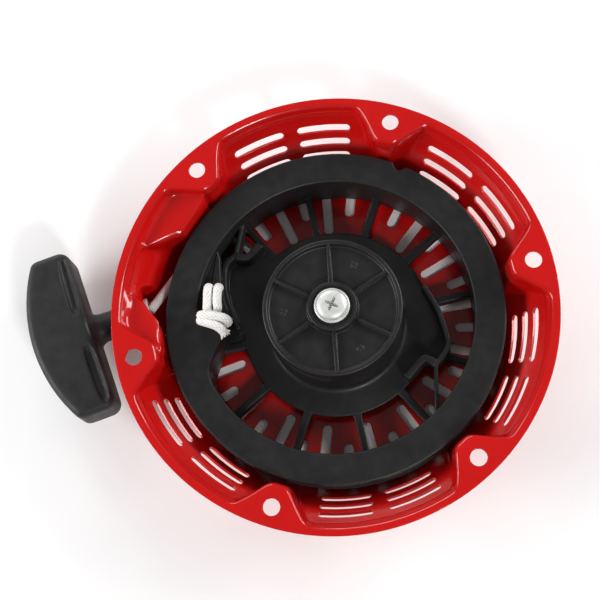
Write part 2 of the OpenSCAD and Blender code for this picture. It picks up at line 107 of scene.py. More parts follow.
# Ratchet guide, its face, rim and boss
GUIDE_R, GUIDE_PHASE, GUIDE_RIBS, GUIDE_BORE = 29.2, 14.0, 6, 5.08
GUIDE_TOP, GUIDE_FACE, GUIDE_PLATE_UNDER, GUIDE_UNDER = 3.0, 0.8, -0.6, -3.6
SCREW_Z, SCREW_R = 5.7, 6.4
# Rope: radius, strands and depth of the braid, radius of the inner and the outer turns, turns
ROPE_R, STRANDS, RELIEF = 2.0, 8, 0.16
COIL_R, LEAD_R, COIL_TURNS = 63.6, 67.4, 3.36
# Height of the first turn, and where the coil climbs or sinks: from turn, to turn, by how much
COIL_Z, COIL_STEPS = -19.8, [(0.8, 1.15, 4.6), (1.95, 2.2, -4.4), (2.9, 3.3, 2.6)]
# Grip: inner edge, width, length, thickness
GRIP_X, GRIP_W, GRIP_LEN, GRIP_T = -99.2, 26.9, 73.0, 20.0
# Grip: radius of the bowed side, of the outer and the inner corners, of the edges and at the stem's root
GRIP_BOW, GRIP_CORNER, GRIP_INNER_CORNER, GRIP_EDGE, STEM_FILLET = 70.0, 4.0, 5.0, 3.2, 5.0
# Its bores, from x to x and radius: the knot's space, the rope's hole and the washer's seat
GRIP_BORES = [(-135, -114, 6.0), (-115, -70, 2.35), (-114.5, -112.6, 5.8)]


def polar(r, degrees, z=None):
    """The point at a radius and an angle, with a height where one is given."""
    a = math.radians(degrees)
    flat = (r * math.cos(a), r * math.sin(a))
    return flat if z is None else (*flat, z)


def arc(centre, r, start, end, steps):
    """Points on a circle from one angle to another, in steps + 1 points."""
    return [(centre[0] + r * math.cos(math.radians(a)), centre[1] + r * math.sin(math.radians(a)))
            for a in np.linspace(start, end, steps + 1)]


def smooth_min(a, b, k):
    """The smaller of two values, blended where they are within about k of one another."""
    h = np.clip(0.5 + 0.5 * (b - a) / k, 0, 1)
    return b + (a - b) * h - k * h * (1 - h)


def smooth_step(x, low, high):
    """0 below low and 1 above high, with a smooth change between them."""
    t = np.clip((x - low) / (high - low), 0, 1)
    return t * t * (3 - 2 * t)


# ------------------------------------------------------------------ mesh helpers
class Shape:
    """Vertices in millimetres and faces, gathered from several closed forms."""

    def __init__(self):
        self.points, self.faces = [], []

    def add(self, points, faces):
        base = len(self.points)
        self.points += [tuple(p) for p in points]
        self.faces += [tuple(i + base for i in f) for f in faces]
        return self

    def grid(self, rows, closed_v=False):
        """Rings of points joined into quads. closed_v joins the last ring to the first."""
        n, m = len(rows), len(rows[0])
        faces = []
        for i in range(n if closed_v else n - 1):
            for j in range(m):
                a, b = i * m + j, i * m + (j + 1) % m
                c, d = (i + 1) % n * m + (j + 1) % m, (i + 1) % n * m + j
                faces.append((a, b, c, d))
        return self.add([p for row in rows for p in row], faces)

    def caps(self, rings, size):
        """Closes the first and the last of the rings added last."""
        top = len(self.points) - size
        base = top - (rings - 1) * size
        self.faces.append(tuple(range(base + size - 1, base - 1, -1)))
        self.faces.append(tuple(range(top, top + size)))
        return self

    def lathe(self, section, steps):
        """A closed section of (radius, z) turned round the axis. A radius may be an array of steps values."""
        cos, sin = circle(steps)
        return self.grid([list(zip(r * cos, r * sin, z + 0 * cos)) for r, z in section], closed_v=True)

    def prism(self, outline, z0, z1, edge=0.0):
        """An outline between two heights, with its upper edges rounded by edge."""
        outline = tidy_outline(outline)
        levels = [(z0, 0.0)]
        levels += [(z1 - d, inward) for inward, d in quarter(edge, (0, 30, 60, 90))] if edge else [(z1, 0.0)]
        self.grid([[(x, y, z) for x, y in inset(outline, d)] for z, d in levels])
        return self.caps(len(levels), len(outline))

    def tube(self, path, radius, sides):
        """A round tube along a list of points. radius is one number or one for each point."""
        turn = np.linspace(0, 2 * math.pi, sides, endpoint=False)[:, None]
        radii = np.broadcast_to(radius, len(path))
        self.grid([list(p + r * (side * np.cos(turn) + other * np.sin(turn)))
                   for (p, side, other), r in zip(frames_along(path), radii)])
        return self.caps(len(radii), sides)


def circle(steps):
    """Cosines and sines of equal steps round a circle."""
    angles = np.radians(np.linspace(0, 360, steps, endpoint=False))
    return np.cos(angles), np.sin(angles)


def quarter(r, degrees):
    """For a rounded edge of radius r: pairs of the inset and the drop from the top."""
    return [(r - r * math.cos(math.radians(a)), r - r * math.sin(math.radians(a))) for a in degrees]


def frames_along(path):
    """Each point of a path with two directions square to it, carried along without twist."""
    path = np.asarray(path, float)
    tangents = np.gradient(path, axis=0)
    tangents /= np.linalg.norm(tangents, axis=1)[:, None]
    side = np.cross(tangents[0], (0.3, 0.2, 1.0))
    for p, t in zip(path, tangents):
        side = side - t * side.dot(t)
        side /= np.linalg.norm(side)
        yield p, side, np.cross(t, side)


def tidy_outline(outline):
    """The outline anticlockwise and without doubled points."""
    kept = [p for i, p in enumerate(outline) if math.dist(p, outline[i - 1]) > 1e-4]
    area = sum(a[0] * b[1] - b[0] * a[1] for a, b in zip(kept, kept[1:] + kept[:1]))
    return kept if area > 0 else kept[::-1]


def inset(outline, d):
    """The outline moved inward by d along its corners' bisectors."""
    if d == 0:
        return outline
    pts = np.array(outline)
    before, after = pts - np.roll(pts, 1, 0), np.roll(pts, -1, 0) - pts
    before /= np.linalg.norm(before, axis=1)[:, None]
    after /= np.linalg.norm(after, axis=1)[:, None]
    n1 = np.c_[-before[:, 1], before[:, 0]]
    n2 = np.c_[-after[:, 1], after[:, 0]]
    n = n1 + n2
    scale = d / np.maximum(0.35, (n * n1).sum(1))
    return [tuple(p) for p in pts + n * scale[:, None]]


def rounded(points, r, steps):
    """A closed outline with each corner rounded by an arc of about radius r."""
    result = []
    n = len(points)
    for i in range(n):
        p, a, b = (np.array(points[k % n], float) for k in (i, i - 1, i + 1))
        u, v = (a - p) / np.linalg.norm(a - p), (b - p) / np.linalg.norm(b - p)
        cut = min(r, 0.45 * np.linalg.norm(a - p), 0.45 * np.linalg.norm(b - p))
        start, end = p + u * cut, p + v * cut
        for t in np.linspace(0, 1, steps + 1):
            result.append(tuple((1 - t) ** 2 * start + 2 * t * (1 - t) * p + t * t * end))
    return result


def ribbon(points, width):
    """Outline of a wall of a width along a smooth line through the points."""
    line = np.array(spline(points, 6))
    t = np.gradient(line, axis=0)
    t /= np.linalg.norm(t, axis=1)[:, None]
    across = np.c_[-t[:, 1], t[:, 0]] * width / 2
    return [tuple(p) for p in line + across] + [tuple(p) for p in (line - across)[::-1]]


def spline(points, steps):
    """A Catmull-Rom curve through the points, in any number of dimensions."""
    p = np.array(points, float)
    p = np.vstack([2 * p[0] - p[1], p, 2 * p[-1] - p[-2]])
    line = []
    for i in range(1, len(p) - 2):
        for t in np.linspace(0, 1, steps, endpoint=False):
            line.append(0.5 * (2 * p[i] + (p[i + 1] - p[i - 1]) * t
                               + (2 * p[i - 1] - 5 * p[i] + 4 * p[i + 1] - p[i + 2]) * t ** 2
                               + (3 * p[i] - p[i - 1] - 3 * p[i + 1] + p[i + 2]) * t ** 3))
    return line + [p[-2]]


def resampled(path, step):
    """The path with a point every step of its length."""
    path = np.asarray(path, float)
    lengths = np.r_[0, np.cumsum(np.linalg.norm(np.diff(path, axis=0), axis=1))]
    at = np.linspace(0, lengths[-1], max(2, int(lengths[-1] / step)))
    return np.array([np.interp(at, lengths, path[:, k]) for k in range(path.shape[1])]).T


def make(name, shape, material, smooth=True):
    """A mesh object in metres. With smooth, it is shaded smooth and keeps its sharp edges."""
    mesh = bpy.data.meshes.new(name)
    mesh.from_pydata([(x * MM, y * MM, z * MM) for x, y, z in shape.points], [], shape.faces)
    mesh.validate()
    obj = bpy.data.objects.new(name, mesh)
    bpy.context.scene.collection.objects.link(obj)
    mesh.materials.append(material)
    clean(obj)
    if smooth:
        crease(obj, 35)
    return obj


def clean(obj):
    """Joins doubled points and turns every face outward."""
    bm = bmesh.new()
    bm.from_mesh(obj.data)
    bmesh.ops.remove_doubles(bm, verts=bm.verts, dist=1e-6)
    bmesh.ops.recalc_face_normals(bm, faces=bm.faces)
    bm.to_mesh(obj.data)
    bm.free()


def crease(obj, sharp):
    """Smooth shading, broken at edges sharper than an angle."""
    bm = bmesh.new()
    bm.from_mesh(obj.data)
    limit = math.radians(sharp)
    for face in bm.faces:
        face.smooth = True
    for edge in bm.edges:
        edge.smooth = len(edge.link_faces) == 2 and edge.calc_face_angle(0) <= limit
    bm.to_mesh(obj.data)
    bm.free()


def apply_modifiers(obj):
    """Replaces the object's mesh by what its modifiers make of it."""
    graph = bpy.context.evaluated_depsgraph_get()
    graph.update()
    mesh = bpy.data.meshes.new_from_object(obj.evaluated_get(graph))
    obj.modifiers.clear()
    old, obj.data = obj.data, mesh
    bpy.data.meshes.remove(old)


def carve(obj, cutter, operation="DIFFERENCE"):
    """Cuts the cutter out of obj, or joins it on, and removes it."""
    modifier = obj.modifiers.new("carve", "BOOLEAN")
    modifier.operation = operation
    modifier.solver = "MANIFOLD"
    modifier.object = cutter
    apply_modifiers(obj)
    bpy.data.objects.remove(cutter)


# ------------------------------------------------------------------ materials
class Nodes:
    """A material's node tree with short calls for what every material here needs."""

    def __init__(self, name, colour, roughness, metallic=0.0):
        self.material = bpy.data.materials.new(name)
        self.material.use_nodes = True
        self.tree = self.material.node_tree
        self.shader = self.tree.nodes["Principled BSDF"]
        self.shader.inputs["Base Color"].default_value = (*colour, 1)
        self.shader.inputs["Roughness"].default_value = roughness
        self.shader.inputs["Metallic"].default_value = metallic
        self.coords = self.tree.nodes.new("ShaderNodeTexCoord").outputs["Object"]

    def link(self, a, b):
        self.tree.links.new(a, b)

    def noise(self, scale, detail, rough=0.55, stretch=None):
        node = self.tree.nodes.new("ShaderNodeTexNoise")
        node.inputs["Scale"].default_value = scale
        node.inputs["Detail"].default_value = detail
        node.inputs["Roughness"].default_value = rough
        source = self.coords
        if stretch:
            mapping = self.tree.nodes.new("ShaderNodeMapping")
            mapping.inputs["Scale"].default_value = stretch
            self.link(source, mapping.inputs["Vector"])
            source = mapping.outputs["Vector"]
        self.link(source, node.inputs["Vector"])
        return node.outputs["Fac"]

    def ramp(self, value, stops):
        node = self.tree.nodes.new("ShaderNodeValToRGB")
        while len(node.color_ramp.elements) < len(stops):
            node.color_ramp.elements.new(0.5)
        for element, (at, colour) in zip(node.color_ramp.elements, stops):
            element.position = at
            element.color = (*colour, 1)
        self.link(value, node.inputs["Fac"])
        return node.outputs["Color"]

    def spread(self, value, low, high):
        """Spreads a noise, most of which is between 0.3 and 0.7, over a range."""
        node = self.tree.nodes.new("ShaderNodeMapRange")
        node.inputs["From Min"].default_value = 0.3
        node.inputs["From Max"].default_value = 0.7
        node.inputs["To Min"].default_value = low
        node.inputs["To Max"].default_value = high
        self.link(value, node.inputs["Value"])
        return node.outputs["Result"]

    def bump(self, height, distance, strength, over=None):
        node = self.tree.nodes.new("ShaderNodeBump")
        node.inputs["Distance"].default_value = distance
        node.inputs["Strength"].default_value = strength
        self.link(height, node.inputs["Height"])
        if over is not None:
            self.link(over, node.inputs["Normal"])
        return node.outputs["Normal"]

    def round_edges(self, radius):
        node = self.tree.nodes.new("ShaderNodeBevel")
        node.samples = 6
        node.inputs["Radius"].default_value = radius
        return node.outputs["Normal"]

    def set(self, socket, value):
        self.shader.inputs[socket].default_value = value
        return self

    def drive(self, socket, source):
        self.link(source, self.shader.inputs[socket])


def red_paint():
    """Glossy paint with a faint orange peel, under a clear coat."""
    n = Nodes("red_paint", (0.51, 0.004, 0.004), 0.22)
    tone = n.ramp(n.noise(38, 4), [(0.25, (0.48, 0.003, 0.003)), (0.75, (0.54, 0.005, 0.004))])
    n.drive("Base Color", tone)
    n.drive("Roughness", n.spread(n.noise(160, 4), 0.16, 0.27))
    n.set("Specular IOR Level", 0.3).set("Coat Weight", 0.6).set("Coat Roughness", 0.05)
    peel = n.bump(n.noise(900, 2), 0.00004, 0.35, n.round_edges(0.0005))
    n.drive("Normal", peel)
    n.link(peel, n.shader.inputs["Coat Normal"])
    return n.material


def moulded_plastic(name, colour, grain, shine):
    """Black plastic. grain is how fine its texture is, and shine is its roughness."""
    n = Nodes(name, colour, shine)
    light = tuple(c * 1.4 + 0.002 for c in colour)
    n.set("Specular IOR Level", 0.35)
    n.drive("Base Color", n.ramp(n.noise(60, 5), [(0.3, colour), (0.8, light)]))
    n.drive("Roughness", n.spread(n.noise(220, 4), shine - 0.07, shine + 0.09))
    n.drive("Normal", n.bump(n.noise(grain, 3, 0.7), 0.00006, 0.5, n.round_edges(0.0005)))
    return n.material


def bare_metal(name, colour, roughness, stretch=(1, 1, 1)):
    """Plain metal. stretch draws its marks out along an axis."""
    n = Nodes(name, colour, roughness, 1.0)
    dull = tuple(c * 0.78 for c in colour)
    n.drive("Base Color", n.ramp(n.noise(140, 5, 0.6, stretch), [(0.3, dull), (0.7, colour)]))
    n.drive("Roughness", n.spread(n.noise(420, 4, 0.6, stretch), roughness - 0.08, roughness + 0.12))
    n.drive("Normal", n.bump(n.noise(1500, 3, 0.6, stretch), 0.00003, 0.5, n.round_edges(0.0003)))
    return n.material


def zinc_plate():
    """Pale, dull zinc."""
    n = Nodes("zinc_plate", (0.7, 0.72, 0.69), 0.42, 0.45)
    tone = n.ramp(n.noise(240, 4), [(0.3, (0.64, 0.66, 0.63)), (0.7, (0.76, 0.78, 0.75))])
    n.drive("Base Color", tone)
    n.drive("Roughness", n.spread(n.noise(600, 4), 0.38, 0.55))
    n.drive("Normal", n.bump(n.noise(1800, 3), 0.00002, 0.5, n.round_edges(0.0003)))
    return n.material


def rope_fibre():
    """White braided nylon. The braid's own relief is in the mesh, with its height in an attribute, which also
    paints the grooves between strands darker: painted shade.
    """
    n = Nodes("rope_fibre", (0.84, 0.83, 0.8), 0.62)
    relief = n.tree.nodes.new("ShaderNodeAttribute")
    relief.attribute_name = "braid"
    # Painted shade: the low grooves between strands are painted dark and the raised strands light.
    painted_groove_shade = [(0.0, (0.42, 0.41, 0.38)), (0.45, (0.8, 0.79, 0.76)), (1.0, (0.92, 0.91, 0.89))]
    n.drive("Base Color", n.ramp(relief.outputs["Fac"], painted_groove_shade))
    n.drive("Roughness", n.spread(n.noise(500, 3), 0.5, 0.72))
    n.drive("Normal", n.bump(n.noise(2600, 4, 0.7, (1, 1, 0.4)), 0.00008, 0.6))
    n.set("Sheen Weight", 0.35).set("Sheen Roughness", 0.5)
    return n.material


RED = red_paint()
BLACK = moulded_plastic("reel_plastic", (0.011, 0.011, 0.0115), 1400, 0.4)
GUIDE_BLACK = moulded_plastic("guide_plastic", (0.011, 0.011, 0.0115), 1700, 0.42)
GRIP_BLACK = moulded_plastic("grip_plastic", (0.014, 0.0138, 0.0148), 1100, 0.5)
STEEL = bare_metal("turned_steel", (0.55, 0.55, 0.56), 0.34)
SPRING = bare_metal("spring_steel", (0.3, 0.31, 0.33), 0.3, (1, 1, 6))
ZINC = zinc_plate()
ROPE = rope_fibre()


# ------------------------------------------------------------------ housing
def wall_cone(z):
    """Radius of the plain wall's inner face at a height."""
    return WALL_R + WALL_SLOPE * (z - WALL_Z)


def softened(angle, values, spread):
    """The values round the circle, averaged over about spread degrees either way."""
    step = angle[1] - angle[0]
    reach = int(3 * spread / step)
    weights = np.exp(-0.5 * (np.arange(-reach, reach + 1) * step / spread) ** 2)
    wrapped = np.r_[values[-reach:], values, values[:reach]]
    return np.convolve(wrapped, weights / weights.sum(), "valid")


def lug_edge(angle):
    """Radius of the flange's inner edge: the rim, with a tongue reaching in at each bolt hole."""
    off = (angle - BOLT_PHASE + 30) % 60 - 30
    side = np.radians(np.abs(off)) * BOLT_R
    reach = np.clip((LUG_HALF - side) / (LUG_HALF - LUG_TIP), 0, 1)
    return softened(angle, RIM_R - LUG_REACH * reach, 1.1)


SHELVES = [
    [(111, 97), (117.5, 75.2), (124, 74.4), (131, 74.3), (138.4, 83), (143.5, 93)],
    [(153, 97), (156.5, 77), (158.5, 74.2), (165, 74.0), (171.5, 73.9), (176, 80), (179, 90)],
]


def shelf_edge(angle):
    """Radius of the pressed shelves' inner edge at an angle, or far out where there is none."""
    edge = np.full_like(angle, 99.0)
    for points in SHELVES:
        at, r = zip(*points)
        edge = np.minimum(edge, np.interp(angle, at, r, left=99, right=99))
    return softened(angle, edge, 0.7)


def wall_radius(angle, z, shelves=True):
    """Radius of the housing's inner face at an angle and a height."""
    edge = lug_edge(angle) - LUG_DRAFT * np.abs(z)
    if shelves:
        edge = smooth_min(edge, shelf_edge(angle) - 0.06 * np.abs(z - SHELF_Z), 2.5)
    r = smooth_min(wall_cone(z), edge, 2.0)
    return press_exit(angle, z, r)


def press_exit(angle, z, r):
    """The flat pad that the rope's guide sits in, pressed into the wall and square to the pull."""
    a = np.radians(angle)
    flat = (EXIT.x + SHEET) / np.minimum(np.cos(a), -0.3)
    y = flat * np.sin(a)
    away = np.hypot(y - EXIT.y, z - EXIT.z)
    mask = 1 - smooth_step(away, PAD_IN, PAD_OUT)
    return r + (flat - r) * mask * (np.cos(a) < -0.5)


def housing_section(angle):
    """Points of the inner face from the flange's edge to the axis, for an array of angles."""
    def level(value):
        return np.full_like(angle, value)

    first = smooth_min(lug_edge(angle), level(RIM_R), 0.6)
    inside_edge = FLANGE_R - FLANGE_EDGE
    rows = [(level(r), level(0)) for r in (FLANGE_R, inside_edge)]
    rows += [(inside_edge + (first + RIM_BEND - inside_edge) * t, level(0)) for t in (0.33, 0.66)]
    for a in np.radians(np.linspace(90, 180, 6)):
        rows.append((first + RIM_BEND * (1 + math.cos(a)), level(-RIM_BEND + RIM_BEND * math.sin(a))))

    # From the bend to below the shelves. Where there is no shelf, the same rows run down the plain wall.
    top_r = wall_radius(angle, level(SHELF_Z), shelves=False)
    low_r = wall_radius(angle, level(SHELF_Z - 1.6))
    is_shelf = smooth_step(top_r - low_r, 1.2, 4.0)
    rows += [(first + (top_r - first) * t, level(z)) for t, z in ((0.5, -3.0), (0.85, -4.0))]
    for t in (0.04, 0.12, 0.3, 0.5, 0.7, 0.86, 0.94, 1.0):
        z_plain = -4.4 - 3.2 * t
        plain = wall_radius(angle, level(z_plain))
        shelf_r = top_r + (low_r + 0.5 - top_r) * t
        rolled = SHELF_ROLL * max(0, (t - 0.7) / 0.3) ** 2
        z_shelf = SHELF_Z + 0.5 * (1 - min(1, t / 0.12)) - rolled
        rows.append((plain + (shelf_r - plain) * is_shelf, z_plain + (z_shelf - z_plain) * is_shelf))
    rows += [(wall_radius(angle, level(z)), level(z)) for z in np.linspace(-8.8, -29.2, 22)]

    # The corner, the end face and the step of its boss
    corner_z = -DEPTH + CORNER_R
    out = wall_radius(angle, level(corner_z))
    for a in np.radians(np.linspace(-WALL_TILT, -90, 7))[1:]:
        rows.append((out - (CORNER_R + 1.2) * (1 - math.cos(a)), level(corner_z + CORNER_R * math.sin(a))))
    inner = rows[-1][0]
    rows += [(np.minimum(inner - 1, r), level(-DEPTH)) for r in (62, 50, 40, 30, 20, 15.5)]
    rows += [(level(r), level(-DEPTH + rise)) for r, rise in BOSS_STEP]
    return rows


def housing():
    """The inner face as one grid, thickened outward to the sheet, then cut."""
    angles = np.linspace(0, 360, 1080, endpoint=False)
    cos, sin = circle(len(angles))
    shape = Shape().grid([list(zip(r * cos, r * sin, z)) for r, z in housing_section(angles)])
    obj = make("housing_shell", shape, RED, smooth=False)
    bm = bmesh.new()
    bm.from_mesh(obj.data)
    if sum(f.normal.z for f in bm.faces) < 0:
        bmesh.ops.reverse_faces(bm, faces=bm.faces)
    bm.to_mesh(obj.data)
    bm.free()
    solid = obj.modifiers.new("sheet", "SOLIDIFY")
    solid.thickness = SHEET * MM
    solid.offset = -1
    solid.use_even_offset = True
    apply_modifiers(obj)
    carve(obj, make("cut", hole_cutters(), RED, smooth=False))
    crease(obj, 38)
    return obj


def wall_frame(centre, u, v, w):
    """u runs round the wall and v down it, from the middle of a slot at (angle, z)."""
    angle, z = centre
    tilt = math.radians(WALL_TILT)
    r = wall_cone(z) - v * math.sin(tilt) + w * math.cos(tilt)
    a = math.radians(angle) + u / wall_cone(z)
    return (r * math.cos(a), r * math.sin(a), z - v * math.cos(tilt) - w * math.sin(tilt))


def face_frame(centre, u, v, w):
    """u runs outward along the end face at an angle, from the middle radius."""
    angle, r = math.radians(centre[0]), centre[1]
    return ((r + u) * math.cos(angle) - v * math.sin(angle),
            (r + u) * math.sin(angle) + v * math.cos(angle), -DEPTH - SHEET / 2 + w * 0.6)


def hole_cutters():
    """Slots in the wall and in the end face, bolt holes and the rope's hole."""
    shape = Shape()
    pitch = ROW_PITCH * math.cos(math.radians(WALL_TILT))
    for sector in range(1, 6):
        middle = BOLT_PHASE + 90 + 60 * sector
        for row in range(WALL_ROWS):
            z = WALL_Z - row * pitch
            half_long = math.radians(SLOT_ARC) * wall_cone(z) + 0.6
            for side in (-1, 1):
                add_slot(shape, (middle + side * SLOT_TURN, z), half_long, SLOT_HALF, wall_frame)
    for i in range(FACE_SLOTS):
        start = FACE_IN[i % 2]
        centre = (FACE_PHASE + 360 * i / FACE_SLOTS, (start + FACE_OUT) / 2)
        add_slot(shape, centre, (FACE_OUT - start) / 2, FACE_HALF, face_frame)
    for k in range(6):
        x, y = polar(BOLT_R, BOLT_PHASE + 60 * k)
        shape.prism([(x + HOLE_R * c, y + HOLE_R * s) for c, s in zip(*circle(48))], -6, 4)
    shape.add(*disc_x(EXIT.x - 6, EXIT.x + 8, EXIT_HOLE))
    return shape


def disc_x(x0, x1, r, steps=40):
    """A cylinder along X round the rope's exit."""
    ring = [(EXIT.y + r * c, EXIT.z + r * s) for c, s in arc((0, 0), 1, 0, 360, steps)[:-1]]
    points = [(x, y, z) for x in (x0, x1) for y, z in ring]
    faces = [(i, (i + 1) % steps, steps + (i + 1) % steps, steps + i) for i in range(steps)]
    return points, faces + [tuple(range(steps)), tuple(range(2 * steps - 1, steps - 1, -1))]


def add_slot(shape, centre, half_long, half_wide, frame_at):
    """A stadium-shaped cutter: its caps are strips of quads, so they follow a curved wall."""
    straight = half_long - half_wide
    stations = [-straight - half_wide * math.cos(a) for a in np.radians(np.linspace(0, 90, 7))]
    stations += list(np.linspace(-straight, straight, 12)[1:-1])
    stations += [straight + half_wide * math.sin(a) for a in np.radians(np.linspace(0, 90, 7))]
    half = [math.sqrt(max(0, half_wide ** 2 - max(0, abs(u) - straight) ** 2)) for u in stations]
    for w in (-5.0, 5.0):  # well through the sheet either way
        shape.points += [frame_at(centre, u, s * v, w) for u, v in zip(stations, half) for s in (-1, 1)]
    n = len(stations)
    base = len(shape.points) - 4 * n

    def low(i, s):
        return base + 2 * i + s

    def high(i, s):
        return low(n + i, s)

    for i in range(n - 1):
        shape.faces += [(low(i, 0), low(i + 1, 0), low(i + 1, 1), low(i, 1)),
                        (high(i, 1), high(i + 1, 1), high(i + 1, 0), high(i, 0)),
                        (low(i, 1), low(i + 1, 1), high(i + 1, 1), high(i, 1)),
                        (low(i + 1, 0), low(i, 0), high(i, 0), high(i + 1, 0))]


# ------------------------------------------------------------------ reel
# Middle lines and outlines as (radius, angle)
LOBE_WALLS = [
    [(47.0, 314.6), (48.6, 321), (49.3, 326), (47.8, 331), (45.4, 338.4), (43.8, 345), (41.9, 352),
     (40.4, 360)],
    [(52.4, 126), (54.0, 132), (52.4, 138), (50.2, 144), (47.6, 150), (45.2, 155.5), (41.8, 165.3)],
]
THIN_LEGS = [[(59.8, 295.4), (47.0, 314.6)], [(59.8, 113.3), (52.4, 126.5)]]
FAT_LEGS = [
    [(47.0, 314.6), (43.6, 315.4), (41.0, 313.2), (39.6, 299.3)],
    [(52.4, 126.5), (49.6, 125.6), (47.2, 122.6), (47.2, 114.3)],
]
KNOT_FLOOR = [(59.8, 129), (56.6, 132), (53.4, 138), (51.2, 144), (48.6, 150), (46.2, 155.5), (45.4, 163),
              (47.2, 168), (59.8, 176)]
LOW_FLOOR = [(40.2, 161), (46.6, 160), (49.0, 166.5), (51.5, 171.6), (40.2, 172.2)]
# Notch in the top flange's edge: angle, half width in degrees, depth
NOTCH_AT, NOTCH_HALF, NOTCH_DEPTH = 47.0, 2.1, 2.4
# Inner edge of the top flange where it is not round, as (angle, radius)
WING = [(155, 59.0), (160, 58.4), (163, 54.0), (167.4, 46.4), (170.2, 47.4), (184.0, 57.9), (189, 59.0)]


REEL_POST = [(7.05, -34.0), (10, -34.0), (10, -6.5), (9.4, -6), (7.05, -6)]
SPOKE = [(PLATE_R - 1.5, 2.1), (PLATE_R + 2.5, 1.6), (RING_R - 1.5, 1.4), (RING_R + 0.8, 1.8)]


def reel_ring(shape):
    """Groove and flanges. A wing of the top flange reaches in beside the knot."""
    angle = np.linspace(0, 360, 720, endpoint=False)
    inner = softened(angle, np.interp(angle, *zip(*WING), left=RING_R, right=RING_R), 0.22)
    outer = REEL_R - NOTCH_DEPTH * np.sqrt(np.clip(1 - ((angle - NOTCH_AT) / NOTCH_HALF) ** 2, 0, 1))
    rows = [(DRUM_R, DRUM_BOTTOM), (DRUM_R, REEL_BOTTOM), (REEL_R - 1, REEL_BOTTOM)]
    rows += arc((REEL_R - 0.6, REEL_BOTTOM + 0.6), 0.6, -90, 0, 3)
    rows += [(REEL_R, GROOVE_BOTTOM - 0.4), (REEL_R - 1, GROOVE_BOTTOM)]
    rows += [(DRUM_R, GROOVE_BOTTOM), (DRUM_R, GROOVE_TOP)]
    rim = [(-1, GROOVE_TOP), (0, GROOVE_TOP + 0.4)]
    rim += arc((-0.9, REEL_TOP - 0.9), 0.9, 0, 90, 4) + [(-2.6, REEL_TOP)]
    rows += [(outer + r, z) for r, z in rim]
    rows.append((RING_R + 3.2, REEL_TOP))
    rows += [(inner + RING_LIP + r, z) for r, z in arc((0, REEL_TOP - RING_LIP), RING_LIP, 90, 180, 5)]
    rows.append((inner, DRUM_BOTTOM))
    shape.lathe(rows, len(angle))


def lobe_outline(angle):
    """Radius of the reel's plate at an angle: a circle, out to the walls where a pawl's lobe stands."""
    r = np.full_like(angle, PLATE_R)
    for run, leg in zip(LOBE_WALLS, FAT_LEGS):
        radii, turns = zip(*(leg[:0:-1] + run))
        turns = np.array(turns)
        order = np.argsort(turns)
        r = np.maximum(r, np.interp(angle, turns[order], np.array(radii)[order] + 1.0, left=0, right=0))
    return r


def in_sectors(angle, sectors):
    """True where an angle is within one of the sectors."""
    return sum((low <= angle) & (angle <= high) for low, high in sectors).astype(bool)


def reel_core(shape):
    """Hub and plate in one surface, with windows for the pawls and the plate's edge following the lobes."""
    angle = np.linspace(0, 360, 720, endpoint=False)
    edge = softened(angle, lobe_outline(angle), 0.6)
    top = np.where(in_sectors(angle, PAWL_WINDOWS), HUB_FLOOR + 0.05, HUB_TOP)
    rows = [(HUB_BORE, PLATE_UNDER), (HUB_BORE, HUB_FLOOR), (HUB_IN, HUB_FLOOR), (HUB_IN, top)]
    rows += [(HUB_R - 0.5, top), (HUB_R, top - 0.5)]
    rows += arc((HUB_R + HUB_FILLET, PLATE_TOP + HUB_FILLET), HUB_FILLET, 180, 270, 8)
    rows += [(34 + (edge - 34) * t, PLATE_TOP) for t in (0.0, 0.4, 0.75)]
    rows += [(edge - 0.5 + r, z) for r, z in arc((0, PLATE_TOP - 0.5), 0.5, 90, 0, 3)]
    rows.append((edge, PLATE_UNDER))
    shape.lathe(rows, len(angle))


def radial_bar(angle, corners):
    """Outline of a bar along a radius. The corners are (radius, half width), from the inner end outward."""
    along = np.array(polar(1, angle))
    across = np.array((-along[1], along[0]))
    left = [tuple(along * r + across * w) for r, w in corners]
    right = [tuple(along * r - across * w) for r, w in corners]
    return left + right[::-1]


def reel():
    """Ring, core, spring cup and post, with spokes, the pawls' lobes and legs, and the floors at the knot."""
    shape = Shape()
    reel_ring(shape)
    reel_core(shape)
    cup_out, cup_top = PLATE_R - 1, PLATE_TOP - 1
    shape.lathe([(CUP_IN, CUP_BOTTOM), (cup_out - 0.5, CUP_BOTTOM), (cup_out, CUP_BOTTOM + 0.5),
                 (cup_out, cup_top), (CUP_IN, cup_top)], 160)
    shape.lathe(REEL_POST, 64)
    for i in range(SPOKES):
        outline = radial_bar(SPOKE_PHASE + 360 * i / SPOKES, SPOKE)
        shape.prism(outline, DRUM_BOTTOM, PLATE_TOP - 0.05, edge=0.35)
    for runs, width, top, edge in ((LOBE_WALLS, 2.2, LOBE_TOP, 0.5), (THIN_LEGS, 1.7, LOBE_TOP - 0.1, 0.4),
                                   (FAT_LEGS, 3.2, LOBE_TOP + 0.2, 0.6)):
        for run in runs:
            shape.prism(ribbon([polar(r, a) for r, a in run], width), PLATE_UNDER, top, edge=edge)
    floor = [polar(r, a) for r, a in KNOT_FLOOR] + [polar(60.2, a) for a in range(172, 130, -6)]
    shape.prism(rounded(floor, 0.8, 3), DRUM_BOTTOM, KNOT_FLOOR_TOP, edge=0.5)
    floor = [polar(r, a) for r, a in LOW_FLOOR]
    shape.prism(rounded(floor, 0.5, 2), PLATE_UNDER, PLATE_TOP - 0.3, edge=0.2)
    return make("reel_moulding", shape, BLACK)


